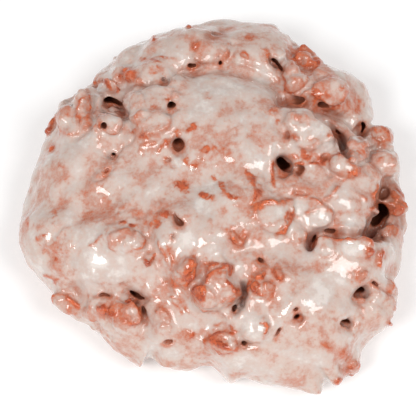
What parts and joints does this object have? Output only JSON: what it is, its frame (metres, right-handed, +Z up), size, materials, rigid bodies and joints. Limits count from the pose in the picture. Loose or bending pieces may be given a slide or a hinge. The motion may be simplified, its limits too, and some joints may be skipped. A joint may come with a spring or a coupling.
{
  "type": "apple fritter",
  "caption": "Glazed apple fritter: a flattened, craggy piece of fried dough with lobes, folds, nuggets and air holes, resting on a flat foot.",
  "frame": {"origin": "on the resting surface, under the middle of the outline", "axes": "+Z up, -Y towards the front that the picture shows, +X to the picture's right"},
  "size_m": [0.1244, 0.1298, 0.0421],
  "materials": {
    "glazed_crust": "wet sugar glaze over browned crust"
  },
  "bodies": {
    "root": {"fritter": "glazed_crust"}
  },
  "joints": []
}
